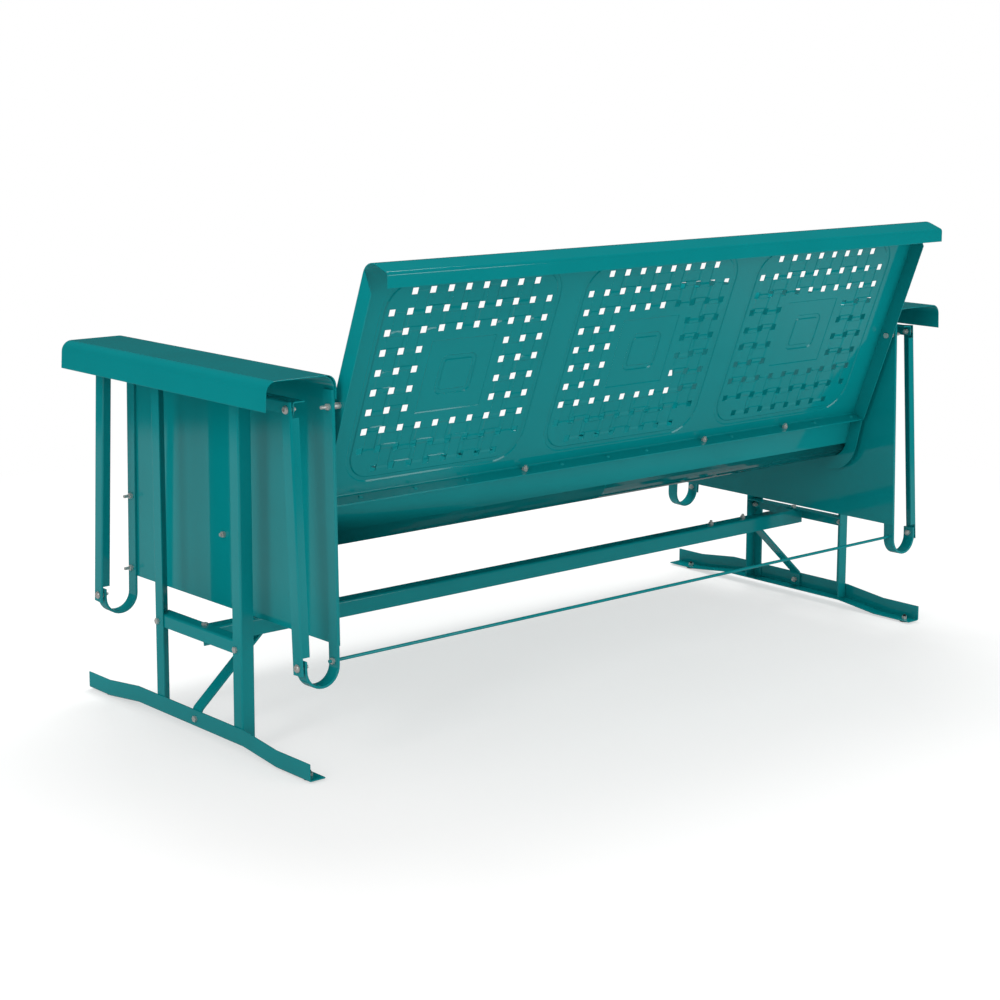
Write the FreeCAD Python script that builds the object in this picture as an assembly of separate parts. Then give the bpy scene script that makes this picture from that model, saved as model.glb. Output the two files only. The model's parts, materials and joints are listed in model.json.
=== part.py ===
"""Glider bench of pressed sheet steel: a standing frame, four hanging links and a swinging seat.

Millimetres, +Z up. The sitter faces -Y and their left hand is on the +X side. The origin is on the
floor, midway along the width and midway between the foremost and the rearmost point.
"""
import FreeCAD, Part
import math
import os
from FreeCAD import Vector

# Overall sizes
WIDTH = 1740.0                # over the two arm caps
DEPTH = 812.0                 # from the front of the foot rails to the back of the top roll
SHEET = 1.5                   # seat, back, side panels and arm caps
ANGLE = 2.5                   # wall of every rolled angle
FLAT = 4.5                    # flat bar of the hangers and braces
ROOT_R = 2.0                  # inside corner of an angle
HALF_WIDTH = WIDTH / 2.0
FRONT_Y = -DEPTH / 2.0
REAR_Y = DEPTH / 2.0
SWING_FROM_REAR = 446.0       # the middle of the arms, panels and links, ahead of the rearmost point
SWING_MID_Y = REAR_Y - SWING_FROM_REAR

# Arm caps
ARM_WIDTH = 143.0
ARM_TOP_Z = 681.5
ARM_LENGTH = 652.0
ARM_ROUND = 20.0              # outer radius of both long edges of the cap
ARM_LIP_Z = 631.5             # lower edge of the outer lip
ARM_LIP_LEAN = 2.5            # the lip stands out this much at its lower edge
ARM_WALL_DROP = 42.0          # inner wall of the cap, down from its top
ARM_IN_X = HALF_WIDTH - ARM_WIDTH

# Side panels
PANEL_IN_X = ARM_IN_X + SHEET
PANEL_X = PANEL_IN_X + SHEET
PANEL_Z0 = 221.0              # lower edge
PANEL_HALF_LOW = 333.0        # half its depth at the lower edge
PANEL_HALF_TOP = 322.0        # half its depth under the arm
PANEL_FLANGE = 36.0           # top flange, turned outboard under the cap
PANEL_BEND = 22.0             # outer radius, wide enough to clear the cap's own bend

# Back panel
SLEEVE_LENGTH = 16.0          # gap between the side panels and the seat and back
SHELL_HALF = PANEL_IN_X - SLEEVE_LENGTH
BACK_LEAN = 20.6              # degrees from upright
BACK_ROOT = 231.0             # rear crease where the back meets the seat, behind the middle
BACK_ROOT_Y = SWING_MID_Y + BACK_ROOT
BACK_ROOT_Z = 451.0
BACK_FOOT = 27.0              # bottom flange, turned rearward
BACK_TOP_Z = 870.0            # highest point of the roll
ROLL_BEND = 27.0              # front bend of the roll
ROLL_LIP = 25.0               # the roll's rear lip hangs plumb
ROLL_CORNER = 7.0
CREASE = 3.0                  # inner radius of the sharp folds
SIDE_FLANGE = 30.0            # side flanges of the seat and back
BACK_FLANGE_END = 24.0        # the side flange stops this far below the roll's bend

# Seat panel
WALL_LEAN = 13.7              # degrees from upright
PAN_RISE = 8.5                # degrees, rising to the front
PAN_REAR = 28.0               # sharp corner of the rear wall and the pan, ahead of the crease
PAN_REAR_Y = BACK_ROOT_Y - PAN_REAR
REAR_BEND = 43.5
SKIRT_REACH = 330.0           # front face of the front skirt, ahead of the middle
SKIRT_Y = SWING_MID_Y - SKIRT_REACH
FRONT_BEND = 38.0             # outer radius of the front roll
SKIRT_Z = 223.0               # lower edge of the skirt
SKIRT_RETURN = 16.0

# Pressed and pierced squares
SQUARES = 3
SQUARE_MARGIN = 30.0          # plain strip beside the outer squares
SQUARE_SPACING = (2.0 * SHELL_HALF - 2.0 * SQUARE_MARGIN) / SQUARES
HOLE = 12.8
PITCH_X = 39.2
PITCH_UP = 37.7
GRID = 10                     # holes along each side of a square
BLANK = 4                     # holes left out along each side of its middle
BACK_SQUARE_UP = 217.0        # middle of a square, up from the back's crease
SEAT_SQUARE_IN = 268.0        # middle of a square, forward from the seat's rear corner
BEAD = 12.0                   # width of the pressed border and of the frame in the middle
BEAD_RISE = 1.2
BORDER_GAP = 14.6             # inner line of the border, out from the outermost hole centres
BORDER_BEND = 48.0            # inner radius of its corners
FIELD_HALF = (73.5, 71.0)     # raised field in the middle of a square
FIELD_RISE = 0.9
FRAME_EDGE = 31.5             # from the edge of the field in to the frame

# Hangers and tie rod
HANGER_WIDTH = 25.0
HANGER_SPAN = 71.5            # over the two legs of the U
HANGER_TOP_Z = 655.0
HANGER_Z0 = 154.0             # underside of the U
HANGER_BEND = 35.0            # outer radius of the U
HANGER_END = 12.0             # outer leg beyond the pivot
ROD_R = 3.0

# Links and pivots
TOP_PIVOT_HALF = 296.0
LOW_PIVOT_HALF = 321.0
TOP_PIVOT_Z = 626.0
LOW_PIVOT_Z = 194.0
PIVOT_SEAT_X = PANEL_X + HANGER_SPAN      # outboard face of the hanger and of the top rail
COLLAR = 4.2
COLLAR_R = 8.0
RUNNING_GAP = 0.3
LINK_X = PIVOT_SEAT_X + COLLAR + RUNNING_GAP
LINK_WIDTH = 25.0
LINK_FLANGE = 15.0
LINK_END = 13.0               # web beyond each pivot
LINK_TRIM_TOP = 13.0          # the flange stops this far short of the two pivots
LINK_TRIM_LOW = 18.0
PIVOT_R = 5.0                 # neck of the pivot bush
PIVOT_CLEARANCE = 0.08
OPEN_PIVOT_CLEARANCE = 0.75   # lower pivots of the front links

# Standing frame
RAIL_LEG = 25.0               # flange of the top rail
TOP_RAIL_Z = 639.7
TOP_RAIL_WEB = 22.2
TOP_RAIL_HALF = 306.0
LEG_X = PIVOT_SEAT_X + ANGLE  # outboard face of the legs
LEG_WIDTH = 26.0
FRONT_LEG = 128.0             # front face of the front leg, ahead of the middle
REAR_LEG = 149.0              # rear face of the rear leg, behind the middle
FRONT_LEG_Y = SWING_MID_Y - FRONT_LEG
REAR_LEG_Y = SWING_MID_Y + REAR_LEG
LEG_TOP_GAP = 3.0             # the legs stop this far below the top rail's top
CROSS_Z = 199.7
CROSS_WEB = 24.5
CROSS_FLANGE = 26.0
STRETCHER_WEB = 31.0
STRETCHER_FLANGE = 30.0
STRETCHER_REAR = 22.0         # rear face of its web, behind the middle
STRETCHER_REAR_Y = SWING_MID_Y + STRETCHER_REAR
STRETCHER_GAP = 0.5           # its ends stop this short of the cross rails' root
FOOT_WEB = 31.0
FOOT_FLANGE = 33.0
FOOT_REAR = 349.0             # rear end of the foot rails, behind the middle
FOOT_REAR_Y = SWING_MID_Y + FOOT_REAR
FOOT_Z0 = 3.7                 # underside at the two ends
FOOT_RISE = 11.6              # the middle stands this much higher
RISE_START = 164.0            # the front rise begins this far ahead of the front leg
RISE_LENGTH = 102.0
DROP_START = 3.0              # the rear drop begins this far behind the rear leg
DROP_LENGTH = 100.0
FRONT_RISE_Y = (FRONT_LEG_Y - RISE_START, FRONT_LEG_Y - RISE_START + RISE_LENGTH)
REAR_DROP_Y = (REAR_LEG_Y + DROP_START, REAR_LEG_Y + DROP_START + DROP_LENGTH)
FOOT_RAIL_BEND = 80.0
BRACE_WIDTH = 26.0
BRACE_BEHIND = 4.0            # middle of the brace, behind the middle
BRACE_MID_Y = SWING_MID_Y + BRACE_BEHIND
BRACE_KNEE_Z = 48.0
BRACE_REACH = 163.0           # from the leg in to the upper knee
BRACE_FOOT = 143.0            # upper end, along the stretcher
BRACE_TOP_X = LEG_X - BRACE_REACH
BRACE_END_X = BRACE_TOP_X - BRACE_FOOT
BRACE_BEND = 9.0

# Glides
GLIDE_R = 10.0
GLIDE_IN_X = 15.0             # inboard of the leg's face
GLIDE_FRONT = 54.0            # from the front and the rear end of the foot rail
GLIDE_REAR = 24.0
GLIDE_X = LEG_X - GLIDE_IN_X
GLIDE_Y = (FRONT_Y + GLIDE_FRONT, FOOT_REAR_Y - GLIDE_REAR)

# Fasteners
BOLT_R = 3.0
BOLT_FIT = 0.05               # radial clearance round a bolt
HEAD_H = 4.2
NUT_FLATS = 10.0
NUT_H = 5.0
TIP = 4.0                     # thread beyond a nut
LONG_TIP = 11.0
STRETCHER_TIP = 24.0
BUTTON_R = 7.2                # heads of the pivot bolts
BUTTON_H = 4.2
BUTTON_RIM = 0.8
BUTTON_SOCKET = 2.6
SOCKET_DEPTH = 2.2
FRONT_BOLT_IN = 9.0           # from the face of the leg that it holds
REAR_BOLT_IN = 17.5
LEG_BOLT_Y = (FRONT_LEG_Y + FRONT_BOLT_IN, REAR_LEG_Y - REAR_BOLT_IN)
LEG_BOLT_Z = 184.5
BRACE_BOLT_Z = 30.5
BRACE_BOLT_IN = 21.0          # from either end of the brace's upper foot
BRACE_BOLT_X = (BRACE_END_X + BRACE_BOLT_IN, BRACE_TOP_X - BRACE_BOLT_IN)
TIE_BOLT_IN = 19.0
TIE_BOLT_X = LEG_X - TIE_BOLT_IN
STRAP_BOLT_Z = (236.0, 376.0)
UPPER_BOLT_UP = 193.0         # along the back from its crease
UPPER_BOLT_IN = 16.0          # behind the back's rear face
MID_BOLT_AHEAD = 10.0
MID_BOLT_Y = SWING_MID_Y - MID_BOLT_AHEAD
MID_BOLT_DROP = 22.0
SLEEVE_R = 5.5
JOINT_BOLT_X = (232.5 - SHELL_HALF, -240.0, 236.0)
JOINT_RIVET_X = (22.5 - SHELL_HALF, 139.5 - SHELL_HALF, -320.0, -79.0, 24.0, 143.0,
                 SHELL_HALF - 336.5, SHELL_HALF - 218.5, SHELL_HALF - 96.5)
JOINT_IN = 12.0               # from the crease, along the two flanges
RIVET_R = 2.4
RIVET_HEAD_R = 4.5
RIVET_HEAD_H = 2.2
RIVET_CROWN_R = 2.5

FRONT_PIVOT_Y = (SWING_MID_Y - TOP_PIVOT_HALF, SWING_MID_Y - LOW_PIVOT_HALF)
REAR_PIVOT_Y = (SWING_MID_Y + TOP_PIVOT_HALF, SWING_MID_Y + LOW_PIVOT_HALF)


def flat(u, v):
    """A point of a flat profile, before it is placed."""
    return Vector(u, v, 0)


def side_view(x):
    """Places a (y, z) profile in the upright plane at this x."""
    return lambda p: Vector(x, p.x, p.y)


def front_view(y):
    """Places an (x, z) profile in the upright plane at this y."""
    return lambda p: Vector(p.x, y, p.y)


def heading(a, b):
    return (b - a).normalize()


def left_of(direction):
    return flat(-direction.y, direction.x)


def shifted(points, distance):
    """The same path moved to its left, its corners kept sharp."""
    starts = [points[0] + left_of(heading(points[0], points[1])) * distance]
    for before, corner, after in zip(points, points[1:], points[2:]):
        come = heading(before, corner)
        go = heading(corner, after)
        middle = left_of(come) + left_of(go)
        starts.append(corner + middle * (2.0 * distance / middle.dot(middle)))
    starts.append(points[-1] + left_of(heading(points[-2], points[-1])) * distance)
    return starts


def rounded(points, radii, place):
    """Edges of an open path whose inner corners are arcs."""
    edges = []
    here = points[0]
    for before, corner, after, radius in zip(points, points[1:], points[2:], radii):
        back = heading(corner, before)
        ahead = heading(corner, after)
        half = math.acos(back.dot(ahead)) / 2.0
        reach = radius / math.tan(half)
        start = corner + back * reach
        end = corner + ahead * reach
        middle = corner + (back + ahead).normalize() * (radius / math.sin(half) - radius)
        edges.append(Part.makeLine(place(here), place(start)))
        edges.append(Part.Arc(place(start), place(middle), place(end)).toShape())
        here = end
    edges.append(Part.makeLine(place(here), place(points[-1])))
    return edges


def strip(points, bends, thickness, place, travel):
    """Sheet bent along a path: the thickness goes to its left, bends are the inner radii."""
    other = shifted(points, thickness)
    near = []
    far = []
    for before, corner, after, bend in zip(points, points[1:], points[2:], bends):
        turn = heading(before, corner).cross(heading(corner, after)).z
        inside = turn * thickness > 0
        near.append(bend + abs(thickness) if inside else bend)
        far.append(bend if inside else bend + abs(thickness))
    edges = rounded(points, near, place)
    edges.append(Part.makeLine(place(points[-1]), place(other[-1])))
    edges.extend(rounded(other[::-1], far[::-1], place))
    edges.append(Part.makeLine(place(other[0]), place(points[0])))
    return Part.Face(Part.Wire(edges)).extrude(travel)


def prism(points, place, travel):
    """Solid under a flat outline."""
    outline = [place(p) for p in points]
    return Part.Face(Part.makePolygon(outline + outline[:1])).extrude(travel)


def box(low, high):
    size = Vector(*high) - Vector(*low)
    return Part.makeBox(size.x, size.y, size.z, Vector(*low))


def rod(start, along, radius):
    """Round bar from a point, as long as the vector along."""
    return Part.makeCylinder(radius, along.Length, start, along)


def mirrored(shape):
    return shape.mirror(Vector(0, 0, 0), Vector(1, 0, 0))


def export(name, shape):
    shape.exportStep("parts/%s.step" % name)


def export_pair(name, shape):
    """The left piece as built, the right one as its mirror image."""
    export("left_" + name, shape)
    export("right_" + name, mirrored(shape))


def fused(shapes):
    return shapes[0].fuse(shapes[1:]).removeSplitter()


def hexagon(start, axis, height):
    """Six-sided prism of a bolt head or nut."""
    across = axis.cross(Vector(0, 1, 0) if abs(axis.y) < 0.5 else Vector(1, 0, 0)).normalize()
    up = axis.cross(across)
    corner = NUT_FLATS / 2.0 / math.cos(math.pi / 6.0)
    ring = []
    for k in range(6):
        turn = math.radians(60.0 * k + 30.0)
        ring.append(start + across * (corner * math.cos(turn)) + up * (corner * math.sin(turn)))
    return Part.Face(Part.makePolygon(ring + ring[:1])).extrude(axis * height)


def bolt(seat, axis, grip, tip=TIP):
    """Hexagon bolt: its head stands on the seat point and its shank runs along the axis."""
    head = hexagon(seat - axis * HEAD_H, axis, HEAD_H)
    return fused([head, rod(seat, axis * (grip + NUT_H + tip), BOLT_R)])


def nut(seat, axis, grip):
    """Nut of such a bolt, on the far side of the grip."""
    start = seat + axis * grip
    return hexagon(start, axis, NUT_H).cut(rod(start, axis * NUT_H, BOLT_R + BOLT_FIT))


def bolted(shape, seats, axis, grip):
    """The piece with a hole for each bolt of a row."""
    return shape.cut([rod(s - axis, axis * (grip + 2.0), BOLT_R + BOLT_FIT) for s in seats])


def both_sides(shapes):
    """Solids of the left side together with their mirror images."""
    return Part.makeCompound(shapes + [mirrored(s) for s in shapes])


X = Vector(1, 0, 0)
Z = Vector(0, 0, 1)
LEAN = math.radians(BACK_LEAN)
UP_BACK = flat(math.sin(LEAN), math.cos(LEAN))       # up along the back
BEHIND = flat(math.cos(LEAN), -math.sin(LEAN))       # square to it, rearward


def on_back(up, behind):
    """Point of the side view, measured from the crease of the back's rear face."""
    return flat(BACK_ROOT_Y, BACK_ROOT_Z) + UP_BACK * up + BEHIND * behind


def hole_grid():
    """Hole centres of one square, as steps across and up from its middle."""
    middle = (GRID - 1) / 2.0
    low = (GRID - BLANK) // 2
    high = low + BLANK
    centres = []
    for row in range(GRID):
        for column in range(GRID):
            corner = row in (0, GRID - 1) and column in (0, GRID - 1)
            blank = low <= row < high and low <= column < high
            if not corner and not blank:
                centres.append(((column - middle) * PITCH_X, (row - middle) * PITCH_UP))
    return centres


def punches(centre, direction):
    """Square punches of a panel's three patterns; direction runs up the sheet in side view."""
    through = left_of(direction)
    half = HOLE / 2.0
    tools = []
    for square in range(SQUARES):
        middle_x = (square - (SQUARES - 1) / 2.0) * SQUARE_SPACING
        for across, up in hole_grid():
            start = centre + direction * (up - half) - through * HOLE
            corners = [start, start + direction * HOLE]
            corners += [c + through * 2.0 * HOLE for c in corners[::-1]]
            tools.append(prism(corners, side_view(middle_x + across - half), X * HOLE))
    return tools


def pad(middle, up, out, half, bend, low, high):
    """Rounded plate on a sheet, from one level to another above the sheet's near face."""
    foot = middle + out * low
    side = flat(half[0], 0)
    corners = [flat(half[0], half[1]), flat(-half[0], half[1]), flat(-half[0], -half[1]),
               flat(half[0], -half[1])]
    place = lambda p: foot + X * p.x + up * p.y
    if bend > 0:
        outline = Part.Wire(rounded([side] + corners + [side], [bend] * 4, place))
    else:
        outline = Part.makePolygon([place(c) for c in corners + corners[:1]])
    return Part.Face(outline).extrude(out * (high - low))


def widened(half, margin):
    return (half[0] + margin, half[1] + margin)


def pressed(sheet, centre, direction, out):
    """The sheet with its three squares pressed out toward the sitter: border, field and frame.

    centre lies on the near face, away from the sitter; direction runs up the sheet in side view.
    """
    up = Vector(0, direction.x, direction.y)
    reach = (GRID - 1) / 2.0
    border = (reach * PITCH_X + BORDER_GAP, reach * PITCH_UP + BORDER_GAP)
    frame = widened(FIELD_HALF, -FRAME_EDGE)
    top = FIELD_RISE + BEAD_RISE
    beads = [(widened(border, BEAD), border, BORDER_BEND, BEAD_RISE), (frame, widened(frame, -BEAD), 0, top)]
    raised = []
    sunk = []
    for square in range(SQUARES):
        middle = Vector((square - (SQUARES - 1) / 2.0) * SQUARE_SPACING, centre.x, centre.y)
        raised.append(pad(middle, up, out, FIELD_HALF, 0, SHEET / 2.0, SHEET + FIELD_RISE))
        sunk.append(pad(middle, up, out, widened(FIELD_HALF, -SHEET), 0, -SHEET, FIELD_RISE))
        for outer, inner, bend, rise in beads:
            wide = bend + BEAD if bend else 0
            high = SHEET + rise
            ring = pad(middle, up, out, outer, wide, SHEET / 2.0, high)
            raised.append(ring.cut(pad(middle, up, out, inner, bend, 0, 2.0 * high)))
            wide = max(wide - SHEET, 0)
            tight = bend + SHEET if bend else 0
            groove = pad(middle, up, out, widened(outer, -SHEET), wide, -SHEET, rise)
            core = pad(middle, up, out, widened(inner, SHEET), tight, -2.0 * SHEET, high)
            sunk.append(groove.cut(core))
    return sheet.fuse(raised).cut(sunk)


# Seat and back panels
roll_rise = BACK_TOP_Z - ROLL_BEND - BACK_ROOT_Z + (ROLL_BEND - SHEET) * math.sin(LEAN)
roll_up = roll_rise / math.cos(LEAN) + ROLL_BEND
roll_behind = (REAR_Y - on_back(roll_up, 0).x) / math.cos(LEAN)
roll_rear = on_back(roll_up, roll_behind)
BACK_PATH = [on_back(-SHEET, BACK_FOOT), on_back(-SHEET, -SHEET), on_back(roll_up, -SHEET), roll_rear,
             roll_rear - flat(0, ROLL_LIP)]

wall_top = on_back(-2.0 * SHEET, -SHEET)
pan_rear = flat(PAN_REAR_Y, wall_top.y - (wall_top.x - PAN_REAR_Y) / math.tan(math.radians(WALL_LEAN)))
skirt_in = SKIRT_Y + SHEET
pan_front = flat(skirt_in, pan_rear.y + (PAN_REAR_Y - skirt_in) * math.tan(math.radians(PAN_RISE)))
skirt_foot = flat(skirt_in, SKIRT_Z + SHEET)
SEAT_PATH = [on_back(-2.0 * SHEET, BACK_FOOT), wall_top, pan_rear, pan_front, skirt_foot,
             skirt_foot + flat(SKIRT_RETURN, 0)]
SEAT_BENDS = [CREASE, REAR_BEND, FRONT_BEND - SHEET, CREASE]

UPPER_BOLT = on_back(UPPER_BOLT_UP, UPPER_BOLT_IN)
mid_bolt_z = pan_rear.y + (PAN_REAR_Y - MID_BOLT_Y) * math.tan(math.radians(PAN_RISE)) - MID_BOLT_DROP
MID_BOLT = flat(MID_BOLT_Y, mid_bolt_z)
hanger_lean = math.degrees(math.atan((PANEL_HALF_LOW - PANEL_HALF_TOP) / (ARM_TOP_Z - SHEET - PANEL_Z0)))


def on_hanger(z, end):
    """Point of the side view on the middle line of the front (-1) or rear (+1) hanger."""
    inward = (z - LOW_PIVOT_Z) * math.tan(math.radians(hanger_lean))
    return flat(SWING_MID_Y + end * (LOW_PIVOT_HALF - inward), z)


STRAP_BOLTS = [on_hanger(z, -1) for z in STRAP_BOLT_Z]
FLANGE_IN_X = SHELL_HALF - SHEET
SEAT_SIDE_BOLTS = [MID_BOLT] + STRAP_BOLTS
EAR_GRIP = PANEL_X - FLANGE_IN_X             # flange, sleeve and side panel
STRAP_GRIP = EAR_GRIP + FLAT
UP_BACK_3D = Vector(0, UP_BACK.x, UP_BACK.y)


def at(x, point):
    """A point of the side view at this x."""
    return Vector(x, point.x, point.y)


def joint_holes(shape):
    """The row of bolt and rivet holes where the back stands on the seat."""
    seat = on_back(-2.0 * SHEET, JOINT_IN)
    tools = []
    for x in JOINT_BOLT_X:
        tools.append(rod(at(x, seat), UP_BACK_3D * 2.0 * SHEET, BOLT_R + BOLT_FIT))
    for x in JOINT_RIVET_X:
        tools.append(rod(at(x, seat), UP_BACK_3D * 2.0 * SHEET, RIVET_R + BOLT_FIT))
    return shape.cut(tools)


def ear_holes(shape, places):
    """Bolt holes through both side flanges of the seat or back."""
    seats = [at(FLANGE_IN_X, p) for p in places]
    shape = bolted(shape, seats, X, SHEET)
    return bolted(shape, [s - X * (2.0 * s.x) for s in seats], -X, SHEET)


def back_panel():
    """Leaning sheet with a foot flange, a roll along its top, side flanges and three pierced squares."""
    bends = [CREASE, ROLL_BEND - SHEET, ROLL_CORNER - SHEET]
    sheet = strip(BACK_PATH, bends, -SHEET, side_view(-SHELL_HALF), X * (2.0 * SHELL_HALF))
    middle = on_back(BACK_SQUARE_UP, 0)
    sheet = pressed(sheet, middle, UP_BACK, -Vector(0, BEHIND.x, BEHIND.y))
    sheet = sheet.cut(punches(middle, UP_BACK))
    end = roll_up - ROLL_BEND - BACK_FLANGE_END
    outline = [on_back(-SHEET, -SHEET), on_back(-SHEET, SIDE_FLANGE), on_back(end, SIDE_FLANGE),
               on_back(end + SIDE_FLANGE, 0), on_back(end + SIDE_FLANGE, -SHEET)]
    ear = prism(outline, side_view(FLANGE_IN_X), X * SHEET)
    return ear_holes(joint_holes(fused([sheet, ear, mirrored(ear)])), [UPPER_BOLT])


def seat_panel():
    """Trough and pan in one sheet, rolled over the front into a skirt, with three pierced squares."""
    sheet = strip(SEAT_PATH, SEAT_BENDS, -SHEET, side_view(-SHELL_HALF), X * (2.0 * SHELL_HALF))
    rising = heading(pan_rear, pan_front)
    middle = pan_rear + rising * SEAT_SQUARE_IN
    sheet = pressed(sheet, middle, rising, Vector(0, rising.y, -rising.x))
    sheet = sheet.cut(punches(middle, rising))
    top = shifted(SEAT_PATH, -SHEET)
    ear = strip(top[1:5], [REAR_BEND, FRONT_BEND - SIDE_FLANGE], SIDE_FLANGE,
                side_view(FLANGE_IN_X), X * SHEET)
    above = [on_back(-SHEET, -SIDE_FLANGE), on_back(-SHEET, 2.0 * SIDE_FLANGE),
             on_back(SIDE_FLANGE, 2.0 * SIDE_FLANGE), on_back(SIDE_FLANGE, -SIDE_FLANGE)]
    ear = ear.cut(prism(above, side_view(FLANGE_IN_X), X * SHEET))
    return ear_holes(joint_holes(fused([sheet, ear, mirrored(ear)])), SEAT_SIDE_BOLTS)


def arm_cap():
    """Folded cap: outer lip, rounded top and an inner wall against the side panel."""
    outer = HALF_WIDTH - ARM_LIP_LEAN
    inner = ARM_IN_X
    path = [flat(HALF_WIDTH, ARM_LIP_Z), flat(outer, ARM_TOP_Z), flat(inner, ARM_TOP_Z),
            flat(inner, ARM_TOP_Z - ARM_WALL_DROP)]
    bend = ARM_ROUND - SHEET
    return strip(path, [bend, bend], SHEET, front_view(SWING_MID_Y - ARM_LENGTH / 2.0),
                 Vector(0, ARM_LENGTH, 0))


def side_panel():
    """Flat panel that narrows upward, its top folded outboard under the arm cap."""
    top = ARM_TOP_Z - SHEET
    path = [flat(PANEL_IN_X + PANEL_FLANGE, top), flat(PANEL_IN_X, top), flat(PANEL_IN_X, PANEL_Z0)]
    sheet = strip(path, [PANEL_BEND - SHEET], SHEET, front_view(SWING_MID_Y - PANEL_HALF_LOW),
                  Vector(0, 2.0 * PANEL_HALF_LOW, 0))
    outline = [flat(SWING_MID_Y - PANEL_HALF_LOW, PANEL_Z0), flat(SWING_MID_Y + PANEL_HALF_LOW, PANEL_Z0),
               flat(SWING_MID_Y + PANEL_HALF_TOP, top), flat(SWING_MID_Y - PANEL_HALF_TOP, top)]
    sheet = sheet.common(prism(outline, side_view(PANEL_IN_X), X * (PANEL_FLANGE + SHEET)))
    places = [UPPER_BOLT] + SEAT_SIDE_BOLTS
    return bolted(sheet, [at(PANEL_IN_X, p) for p in places], X, SHEET)


def hanger(end):
    """Flat bar down the edge of the side panel, turned up again in a U that carries the lower pivot."""
    pivot = at(0, on_hanger(LOW_PIVOT_Z, end))
    path = [flat(PANEL_X, HANGER_TOP_Z), flat(PANEL_X, HANGER_Z0), flat(PIVOT_SEAT_X, HANGER_Z0),
            flat(PIVOT_SEAT_X, LOW_PIVOT_Z + HANGER_END)]
    bend = HANGER_BEND - FLAT
    bar = strip(path, [bend, bend], FLAT, front_view(pivot.y - HANGER_WIDTH / 2.0),
                Vector(0, HANGER_WIDTH, 0))
    bar.rotate(pivot, X, end * hanger_lean)
    bar = bolted(bar, [pivot + X * (PIVOT_SEAT_X - FLAT)], X, FLAT)
    if end < 0:
        return bolted(bar, [at(PANEL_X, p) for p in STRAP_BOLTS], X, FLAT)
    rod_hole = rod(pivot + X * (PANEL_X - 1.0), X * (FLAT + 2.0), ROD_R + BOLT_FIT)
    return bolted(bar, [at(PANEL_X, UPPER_BOLT)], X, FLAT).cut(rod_hole)


def tie_rod():
    """Round rod between the two rear hangers, below the panels."""
    half = PANEL_X + FLAT + NUT_H + TIP
    return rod(at(-half, on_hanger(LOW_PIVOT_Z, 1)), X * (2.0 * half), ROD_R)


def link(top_y, low_y, play):
    """Angle whose web hangs on the top pivot and carries the hanger; its flange is on the rear edge."""
    top = flat(top_y, TOP_PIVOT_Z)
    low = flat(low_y, LOW_PIVOT_Z)
    down = heading(top, low)
    rear = left_of(down)
    half = LINK_WIDTH / 2.0
    start = top - down * LINK_END
    end = low + down * LINK_END
    web = prism([start - rear * half, start + rear * half, end + rear * half, end - rear * half],
                side_view(LINK_X), X * ANGLE)
    start = top + down * LINK_TRIM_TOP
    end = low - down * LINK_TRIM_LOW
    edge = half - ANGLE
    flange = prism([start + rear * edge, start + rear * half, end + rear * half, end + rear * edge],
                   side_view(LINK_X - LINK_FLANGE), X * (LINK_FLANGE + ANGLE))
    holes = [rod(at(LINK_X - 1.0, top), X * (ANGLE + 2.0), PIVOT_R + PIVOT_CLEARANCE),
             rod(at(LINK_X - 1.0, low), X * (ANGLE + 2.0), PIVOT_R + play)]
    return fused([web, flange]).cut(holes)


def pivot_bush(point):
    """Stepped bush: the collar keeps the link off its seat, the neck runs in the link's hole."""
    neck = ANGLE + 2.0 * RUNNING_GAP
    seat = at(PIVOT_SEAT_X, point)
    body = fused([rod(seat, X * COLLAR, COLLAR_R), rod(seat + X * COLLAR, X * neck, PIVOT_R)])
    return body.cut(rod(seat, X * (COLLAR + neck), BOLT_R + BOLT_FIT))


def pivot_bolt(point, inner, tip):
    """Button-headed bolt from outboard through a bush into the sheet whose inboard face is given."""
    seat = at(LINK_X + ANGLE + RUNNING_GAP, point)
    shank = seat.x - inner + NUT_H + tip
    rim = flat(BUTTON_RIM, BUTTON_R)
    crown = flat(BUTTON_H, BUTTON_SOCKET)
    middle = (rim + crown) * 0.5 + flat(BUTTON_RIM, BUTTON_RIM)
    place = front_view(0)
    corners = [flat(-shank, 0), flat(-shank, BOLT_R), flat(0, BOLT_R), flat(0, BUTTON_R), rim]
    edges = [Part.makeLine(place(a), place(b)) for a, b in zip(corners, corners[1:])]
    edges.append(Part.Arc(place(rim), place(middle), place(crown)).toShape())
    corners = [crown, flat(BUTTON_H - SOCKET_DEPTH, BUTTON_SOCKET), flat(BUTTON_H - SOCKET_DEPTH, 0),
               flat(-shank, 0)]
    edges += [Part.makeLine(place(a), place(b)) for a, b in zip(corners, corners[1:])]
    turned = Part.Face(Part.Wire(edges)).revolve(Vector(0, 0, 0), X, 360)
    turned.translate(seat)
    return turned


def top_rail():
    """Angle that the two links of one side hang from."""
    path = [flat(PIVOT_SEAT_X, TOP_RAIL_Z - TOP_RAIL_WEB), flat(PIVOT_SEAT_X, TOP_RAIL_Z),
            flat(PIVOT_SEAT_X - RAIL_LEG, TOP_RAIL_Z)]
    rail = strip(path, [ROOT_R], ANGLE, front_view(SWING_MID_Y - TOP_RAIL_HALF),
                 Vector(0, 2.0 * TOP_RAIL_HALF, 0))
    seats = [at(PIVOT_SEAT_X - ANGLE, p) for p in TOP_PIVOTS]
    return bolted(rail, seats, X, ANGLE)


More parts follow.
